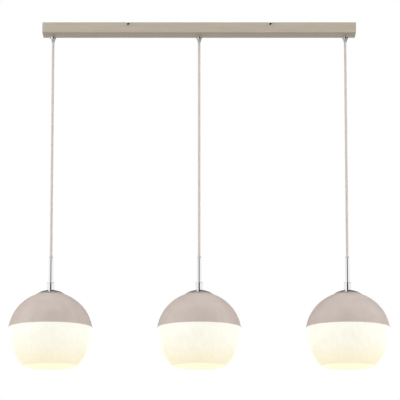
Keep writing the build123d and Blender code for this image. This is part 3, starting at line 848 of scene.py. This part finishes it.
def makeCordTails():
    # the end of each cord in its gland, cut square and bared where the cores leave it
    radius, top = cordRadius, cordSettings["tailTop"]
    piece = turned("tail", [
        *dome(bendCentre, radius, -1)[::-1][1:],
        (radius, top - 0.2), (radius - 0.15, top), (radius - 0.5, top), (radius - 0.6, top - 0.6),
        (0, top - 0.6),
    ], sides=32, loop=False)
    smooth(piece, 40)
    fitted(copiesOf(piece, "cordTails", *onEachCord), sheath, "cord_sheath", "canopy", "cord_tails")


# the terminal block: three poles between grooves, with a tab for its stud
blockSettings = {
    "low": (70, -11, -23.8), "high": (100, 5, -5.8), "tabLow": (99, -9, -23.8),
    "tabHigh": (109, 3, -20.8), "poles": (75, 85, 95), "screwRows": (-7, 1), "screwSeat": -7.6,
    "bore": 3.2, "boreZ": -13.6, "grooves": (80, 90), "groove": 1.2, "grooveDepth": 10.8,
    "shoulder": 3.0, "well": 1.75, "tabHole": 2.15, "tabCut": (-25, -19), "edge": 0.3,
}


def makeTerminalBlock():
    settings = blockSettings
    low, high, boreZ = Vector(settings["low"]), Vector(settings["high"]), settings["boreZ"]
    piece = block(low, high, "terminalBlock")
    bevelEdges(piece, settings["shoulder"], 1, lambda c: (
        all(corner.z > high.z - hair for corner in c) and abs(c[0].x - c[1].x) > 1
    ))
    roundedEdges(piece, settings["edge"])
    half, grooveEnd = settings["groove"] / 2, high.z - settings["grooveDepth"]
    for x in settings["grooves"]:
        start, end = (x - half, low.y - past, grooveEnd), (x + half, high.y + past, 0)
        cutWith(piece, block(start, end))
    for x in settings["poles"]:
        start, end = (x, low.y - past, boreZ), (x, high.y + past, boreZ)
        cutWith(piece, rod(settings["bore"], start, end, 40))
        for y in settings["screwRows"]:
            cutWith(piece, rod(settings["well"], (x, y, boreZ + 1), (x, y, 0)))
    tab = block(settings["tabLow"], settings["tabHigh"], "terminalTab")
    roundedEdges(tab, settings["edge"])
    x, y, _ = barSettings["studPlaces"][0]
    start, end = ((x, y, z) for z in settings["tabCut"])
    cutWith(tab, rod(settings["tabHole"], start, end))
    smooth(tab, 30)
    smooth(piece, 30)
    piece = joined("terminalBlock", [piece, tab])
    fitted(piece, polyamide, "white_plastic", "canopy", "terminal_block")


makeGlands()
makeNuts()
makeScrews()
makeCordTails()
makeTerminalBlock()
print("glands, nuts, screws and terminal block made")

# the stem: a clear bush round the cord, a chromed tube, and the collar that locks it
stemSettings = {
    "top": -567.0, "bore": 3.4, "radius": 5.5, "pocket": 4.6, "pocketEnd": -574.15,
    "thread": 4.95, "threadTop": -643.0, "threadEnd": -656.3, "edge": 0.4,
    "bushRadius": 4.3, "bushEdge": 0.55, "plugRadius": 4.55, "plugLength": 7, "bushBore": 3.15,
    "collarTop": -626.0, "collarRadius": 8.75, "collarEdge": 1.2, "collarEnd": -645.0,
}


def makeStems():
    stem = stemSettings
    top, edge, bore = stem["top"], stem["edge"], stem["bushBore"]
    plug, outer, rounded = stem["plugRadius"], stem["bushRadius"], stem["bushEdge"]
    plugEnd = top - stem["plugLength"]
    bush = turned("bush", [
        (bore, plugEnd), (plug - 0.2, plugEnd), (plug, plugEnd + 0.2), (plug, top), (outer, top),
        (outer, cordBottom - 0.6), *arc(outer - rounded, cordBottom - rounded, rounded, 0, 120, 6),
        (bore, cordBottom - 0.5),
    ], sides=48)
    smooth(bush)
    onEachPendant(bush, "StemBush", clearPlastic, "clear_bush", "stem_bush")
    radius, thread, pocket, inside = (stem[key] for key in ("radius", "thread", "pocket", "bore"))
    threadTop, threadEnd, pocketEnd = stem["threadTop"], stem["threadEnd"], stem["pocketEnd"]
    tube = turned("stem", [
        (pocket, top), (radius - edge, top), *arc(radius - edge, top - edge, edge, 90, 0, 4)[1:],
        (radius, threadTop + 0.3), (radius - 0.3, threadTop),
        *threadRings(thread, 0.35, 1.0, threadTop - 0.1, threadEnd + 0.3),
        (thread - 0.3, threadEnd), (inside, threadEnd), (inside, pocketEnd), (pocket, pocketEnd),
    ], sides=64)
    smooth(tube, 32)
    onEachPendant(tube, "Stem", chrome, "chrome", "stem")
    rounded, top, end = stem["collarEdge"], stem["collarTop"], stem["collarEnd"]
    inner = stem["collarRadius"] - rounded
    collar = turned("collar", [
        (radius + 0.05, top), *arc(inner, top - rounded, rounded, 90, 0, 6),
        *arc(inner, end + rounded, rounded, 0, -90, 6),
        (thread + 0.05, end), (thread + 0.05, end + 2), (radius + 0.05, end + 2),
    ], sides=72)
    smooth(collar)
    onEachPendant(collar, "StemCollar", chrome, "chrome", "stem_collar")


makeStems()
print("stems made")

# the shade: chrome cap, painted steel upper half, and opal globe open below
shadeSettings = {
    "capTop": -645.0, "capHole": 5.1, "capPad": 9.5, "capRadius": 33.0, "capDrop": 7.83,
    "capCurve": 1.6, "capWall": 1.0, "capLip": 1.5, "capSteps": 14, "neck": 20.5,
    "shellWall": 0.7, "shellSteps": 56, "glassWall": 3.0, "glassSteps": 72, "lip": 1.0,
    "sides": 144,
}


def ballRun(radius, high, low, steps):
    # points down a ball about the shade's middle, between two heights
    start, end = ((height - shadeCentre) / radius for height in (high, low))
    first, last = atan2(start, sqrt(1 - start * start)), atan2(end, sqrt(1 - end * end))
    angles = [first + (last - first) * step / steps for step in range(steps + 1)]
    return [(radius * cos(angle), shadeCentre + radius * sin(angle)) for angle in angles]


def ballHeight(radius, across):
    return shadeCentre + sqrt(radius * radius - across * across)


def makeShades():
    shade = shadeSettings
    sides, neck = shade["sides"], shade["neck"]
    pad, edge, top, wall = shade["capPad"], shade["capRadius"], shade["capTop"], shade["capWall"]
    drop, capLip, steps = shade["capDrop"], shade["capLip"], shade["capSteps"]
    domeRun = []
    for step in range(steps + 1):
        share = step / steps
        domeRun.append((pad + (edge - pad) * share, top - drop * share ** shade["capCurve"]))
    lipZ = top - drop - wall
    under = [(radius, height - wall) for radius, height in domeRun if radius < edge - capLip - 1]
    cap = turned("cap", [
        (shade["capHole"], top), *domeRun, (edge, lipZ + 0.45), (edge - 0.13, lipZ + 0.13),
        (edge - 0.45, lipZ), (edge - capLip, lipZ),
        *under[::-1], (shade["capHole"], top - wall),
    ], sides)
    smooth(cap, 40)
    onEachPendant(cap, "ShadeCap", chrome, "chrome", "shade_cap")

    outer, inner = shadeRadius, shadeRadius - shade["shellWall"]
    shell = turned("shell", [
        *ballRun(outer, ballHeight(outer, neck), skirtZ + 0.25, shade["shellSteps"]),
        (sqrt(outer ** 2 - (skirtZ - shadeCentre) ** 2) - 0.2, skirtZ),
        *ballRun(inner, skirtZ + 0.1, ballHeight(inner, neck), shade["shellSteps"]),
    ], sides)
    smooth(shell, 40)
    onEachPendant(shell, "ShadeShell", powderCoat, "painted_shell", "shade_shell")

    outer, inner, lip = glassRadius, glassRadius - shade["glassWall"], shade["lip"]
    outerEnd, innerEnd = (
        sqrt(size * size - (mouthZ - shadeCentre) ** 2) for size in (outer, inner)
    )
    globe = turned("globe", [
        *ballRun(outer, ballHeight(outer, neck), mouthZ + lip, shade["glassSteps"]),
        (outerEnd - 0.1, mouthZ + 0.3), (outerEnd - 0.9, mouthZ), (innerEnd + 1.1, mouthZ),
        (innerEnd + 0.45, mouthZ + 0.3),
        *ballRun(inner, mouthZ + lip, ballHeight(inner, neck), shade["glassSteps"]),
    ], sides)
    smooth(globe, 40)
    onEachPendant(globe, "ShadeGlass", opalGlass, "opal_glass", "shade_glass")


makeShades()
print("shades made")

# the lampholder and the ring that clamps glass and shell to it
holderSettings = {
    "bossTop": -646.25, "boss": 6.5, "capTop": -650.0, "radius": 19.4, "middle": -669.0,
    "bottom": -703.0, "capWall": 2.0, "bore": 14.0, "floor": -675.0, "flutes": 36,
    "ringTop": -657.38, "flange": 28.0, "flangeHeight": 2.4, "hub": 22.5, "hubBore": 19.5,
    "ringEnd": -666.38, "notches": 18, "sleeve": 13.95, "sleevePitch": 3.6, "capBore": 5.0,
    "capInside": -653, "grooveTop": -655.0, "wireHole": 3.1,
}


def makeHolders():
    holder = holderSettings
    radius, middle, floor = holder["radius"], holder["middle"], holder["floor"]
    inner, wireHole = radius - holder["capWall"], holder["wireHole"]
    boss, bossTop, capTop = holder["boss"], holder["bossTop"], holder["capTop"]
    capBore, capInside = holder["capBore"], holder["capInside"]
    cap = turned("holderCap", [
        (capBore, bossTop), (boss - 0.2, bossTop), (boss, bossTop - 0.2), (boss, capTop),
        *arc(radius - 2.4, capTop - 2.4, 2.4, 90, 0, 6),
        *threadRings(radius, 0.5, 1.5, holder["grooveTop"], middle + 0.9, 6),
        (radius, middle + 0.3), (radius - 0.2, middle), (inner, middle), (inner, capInside),
        (capBore, capInside),
    ], sides=72)
    smooth(cap, 40)
    onEachPendant(cap, "HolderCap", thermoplastic, "holder_plastic", "holder_cap")

    bottom, bore = holder["bottom"], holder["bore"]
    body = turned("holderBody", [
        (wireHole, middle + 5), (inner - 0.3, middle + 5), (inner - 0.1, middle + 4.8),
        (inner - 0.1, middle), (radius - 0.2, middle), (radius, middle - 0.2),
        (radius, middle - 2.5), (radius - 0.35, middle - 2.8), (radius - 0.35, middle - 3.2),
        (radius, middle - 3.5), (radius, middle - 5), (radius, bottom + 4),
        *arc(radius - 1.5, bottom + 1.5, 1.5, 0, -90, 5),
        *arc(bore + 1.1, bottom + 1.1, 1.1, -90, -180, 4), (bore, floor), (wireHole, floor),
    ], sides=144)
    reliefRound(body, radius - 0.1, bottom + 3.9, middle - 4.5, holder["flutes"], 0.5, 0.3)
    smooth(body, 30)
    onEachPendant(body, "HolderBody", thermoplastic, "holder_plastic", "holder_body")

    sleeve, pitch = holder["sleeve"], holder["sleevePitch"]
    wave = threadRings(sleeve, 0.28, pitch, floor - 0.9, floor - 23.2, 8)
    contacts = turned("contacts", [
        (sleeve - 0.3, floor - 0.1), (sleeve, floor - 0.1), *wave, (sleeve, floor - 24),
        (sleeve - 0.3, floor - 24), *[(size - 0.3, height) for size, height in wave[::-1]],
    ], sides=72)
    tongue = turned("tongue", [
        (5.8, floor - 0.05), (6.0, floor - 0.2), (5.8, floor - 0.5), (3.2, floor - 0.55),
        (0, floor - 0.55),
    ], sides=32, loop=False)
    for part in (contacts, tongue):
        smooth(part, 50)
    contacts = joined("contacts", [contacts, tongue])
    onEachPendant(contacts, "HolderContacts", brass, "brass_contacts", "holder_contacts")

    top, flange, hub, end = (holder[key] for key in ("ringTop", "flange", "hub", "ringEnd"))
    hubBore, flangeEnd = holder["hubBore"], top - holder["flangeHeight"]
    ring = turned("ring", [
        (hubBore, top), (flange - 0.3, top), (flange, top - 0.3), (flange, flangeEnd + 0.3),
        (flange - 0.3, flangeEnd), (hub + 0.4, flangeEnd), (hub, flangeEnd - 0.4), (hub, end + 0.3),
        (hub - 0.3, end), (hubBore + 0.2, end), (hubBore, end + 0.2),
    ], sides=144)
    reliefRound(ring, flange - 0.6, flangeEnd - 0.1, top + 0.1, holder["notches"], 0.3, 1.2)
    smooth(ring, 30)
    onEachPendant(ring, "ShadeRing", thermoplastic, "holder_plastic", "shade_ring")


# the bulb: a rolled thread with its tip, and a pear of frosted glass
bulbSettings = {
    "top": -675.65, "tip": 5.0, "thread": 13.2, "pitch": 3.6, "baseEnd": -701.05, "neck": 12.6,
    "neckEnd": -711.05, "radius": 30.0, "middle": -752.05, "flareSteps": 20,
}


def makeBulbs():
    bulb = bulbSettings
    top, tip, thread, end = (bulb[key] for key in ("top", "tip", "thread", "baseEnd"))
    base = turned("bulbBase", [
        (tip - 1.6, top), (tip - 0.5, top - 0.15), (tip, top - 0.7), (tip, top - 1.0),
        (tip + 0.5, top - 1.1), (thread - 1.6, top - 3.0), (thread - 0.8, top - 3.4),
        *threadRings(thread, 0.8, bulb["pitch"], top - 4.4, end + 3.4, 8),
        (thread - 0.7, end + 2.2), (thread - 0.3, end + 1.2), (thread - 0.1, end + 0.3),
        (thread - 0.2, end), (0, end),
    ], sides=72, loop=False)
    smooth(base, 50)
    onEachPendant(base, "BulbBase", aluminium, "bulb_metal", "bulb_base", "bulb")
    neck, radius, middle = bulb["neck"], bulb["radius"], bulb["middle"]
    flare = []
    for step in range(bulb["flareSteps"] + 1):
        share = step / bulb["flareSteps"]
        grow = share * share * (3 - 2 * share)
        height = bulb["neckEnd"] + (middle - bulb["neckEnd"]) * share
        flare.append((neck + (radius - neck) * grow, height))
    glass = turned("bulbGlass", [
        (neck - 0.2, end), (neck, end - 0.3), *flare, *arc(0, middle, radius, -5, -88, 18),
        (0, middle - radius),
    ], sides=72, loop=False)
    smooth(glass, 60)
    onEachPendant(glass, "BulbGlass", frosted, "bulb_frost", "bulb_glass", "bulb")


makeHolders()
makeBulbs()
print("lampholders and bulbs made")


def finishNodes(material, *names):
    # CAD pieces whose shape is right keep it, and get their finish here
    for name in names:
        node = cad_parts[name]
        if not node.material_slots:
            node.data.materials.append(material)
        for slot in node.material_slots:
            slot.material = material


finishNodes(liveCore, "live_leads")
finishNodes(neutralCore, "neutral_leads")
finishNodes(earthCore, "earth_leads")
finishNodes(brass, "earth_lug")
for side in pendants:
    finishNodes(sheath, f"{side}_cord_bend", f"{side}_stem_lead")

# the studio: a pale floor, three soft lamps, and a white room that the chrome reflects
studioSettings = {
    "floorZ": -2.3, "floorSize": 14, "floorLift": 0.34, "sweep": (3.0, 6.4), "room": 0.6,
    "lamps": {
        "leftLamp": ((-3.5, -0.9, 0.5), 1.6, 68),
        "rightLamp": ((3.5, -0.9, 0.5), 1.6, 68),
        "frontLamp": ((0.0, -3.8, 0.6), 2.4, 30),
    },
    "lampAim": (0, 0, -0.5), "stripe": (0.28, 0.42, 0.0), "band": (0.46, 0.21, 0.28),
    "behind": (-0.1, 0.3), "right": (0.02, 0.3), "dark": 0.12,
}


def makeFloor():
    # seen directly it is lifted towards white, all the way at its far edge
    studio = studioSettings
    nothingSelected()
    bpy.ops.mesh.primitive_plane_add(size=studio["floorSize"], location=(0, 0, studio["floorZ"]))
    floor = named("studioFloor")
    material, shader = newMaterial("paleStudioFloor", "#C8C6C2", roughness=0.85)
    colourFrom(material, shader, noiseAt(material, (400, 400, 400)), "#C5C3BF", "#CBC9C5")
    place = addNode(material, "TexCoord")
    reach = addNode(material, "VectorMath", links={0: place.outputs["Object"]}, operation="LENGTH")
    near, far = studio["sweep"]
    fade = addNode(
        material, "MapRange", {"From Min": near, "From Max": far, "To Min": studio["floorLift"]},
        {"Value": reach.outputs["Value"]}, interpolation_type="SMOOTHSTEP",
    )
    path = addNode(material, "LightPath")
    lift = addNode(
        material, "Math", links={0: path.outputs["Is Camera Ray"], 1: fade.outputs[0]},
        operation="MULTIPLY",
    )
    shader.inputs["Emission Color"].default_value = linear("#FFFFFF")
    material.node_tree.links.new(lift.outputs[0], shader.inputs["Emission Strength"])
    floor.data.materials.append(material)


def makeLamps():
    for name, (place, size, power) in studioSettings["lamps"].items():
        data = bpy.data.lights.new(name, "AREA")
        data.size = size
        data.energy = power
        lamp = bpy.data.objects.new(name, data)
        lamp.location = place
        lamp.visible_glossy = False  # mirrors show the room, not the lamps
        aim = Vector(studioSettings["lampAim"]) - Vector(place)
        lamp.rotation_euler = aim.to_track_quat("-Z", "Y").to_euler()
        bpy.context.scene.collection.objects.link(lamp)


def makeRoom():
    # what is seen is white; mirrors see a dark stripe in front, and a dark band above and below
    # the level, behind and to the right
    studio = studioSettings
    world = bpy.data.worlds.new("softRoom")
    bpy.context.scene.world = world
    world.use_nodes = True
    place = addNode(world, "TexCoord")
    away = addNode(world, "SeparateXYZ", links={"Vector": place.outputs["Generated"]})
    front = addNode(world, "Math", {1: -1}, {0: away.outputs["Y"]}, operation="MULTIPLY")
    angle = addNode(
        world, "Math", links={0: away.outputs["X"], 1: front.outputs[0]}, operation="ARCTAN2"
    )
    aside = addNode(world, "Math", links={0: angle.outputs[0]}, operation="ABSOLUTE")
    near, far, depth = studio["stripe"]
    stripe = addNode(
        world, "MapRange", {"From Min": near, "From Max": far, "To Min": depth},
        {"Value": aside.outputs[0]}, interpolation_type="SMOOTHSTEP",
    )
    middle, full, end = studio["band"]
    level = addNode(world, "Math", links={0: away.outputs["Z"]}, operation="ABSOLUTE")
    offset = addNode(world, "Math", {1: middle}, {0: level.outputs[0]}, operation="SUBTRACT")
    distance = addNode(world, "Math", links={0: offset.outputs[0]}, operation="ABSOLUTE")
    band = addNode(
        world, "MapRange", {"From Min": full, "From Max": end, "To Min": 1.0, "To Max": 0.0},
        {"Value": distance.outputs[0]}, interpolation_type="SMOOTHSTEP",
    )
    behind, right = (
        addNode(
            world, "MapRange", {"From Min": start, "From Max": stop},
            {"Value": away.outputs[axis]}, interpolation_type="SMOOTHSTEP",
        )
        for axis, (start, stop) in (("Y", studio["behind"]), ("X", studio["right"]))
    )
    where = addNode(
        world, "Math", links={0: behind.outputs[0], 1: right.outputs[0]}, operation="MAXIMUM"
    )
    patch = addNode(
        world, "Math", links={0: band.outputs[0], 1: where.outputs[0]}, operation="MULTIPLY"
    )
    shade = addNode(
        world, "MapRange", {"To Min": 1.0, "To Max": studio["dark"]}, {"Value": patch.outputs[0]}
    )
    mirror = addNode(
        world, "Math", links={0: stripe.outputs[0], 1: shade.outputs[0]}, operation="MINIMUM"
    )
    path = addNode(world, "LightPath")
    lit = addNode(
        world, "Mix", {"A": studio["room"]},
        {"Factor": path.outputs["Is Glossy Ray"], "B": mirror.outputs[0]}, data_type="FLOAT",
    )
    plainView = addNode(
        world, "Math",
        links={0: path.outputs["Is Camera Ray"], 1: path.outputs["Is Transmission Ray"]},
        operation="MAXIMUM",
    )
    strength = addNode(
        world, "Mix", {"B": 1.0}, {"Factor": plainView.outputs[0], "A": lit.outputs[0]},
        data_type="FLOAT",
    )
    background = world.node_tree.nodes["Background"]
    background.inputs["Color"].default_value = linear("#FFFFFF")
    world.node_tree.links.new(strength.outputs[0], background.inputs["Strength"])


makeFloor()
makeLamps()
makeRoom()
bpy.context.scene.view_settings.view_transform = "Standard"
print("studio made")
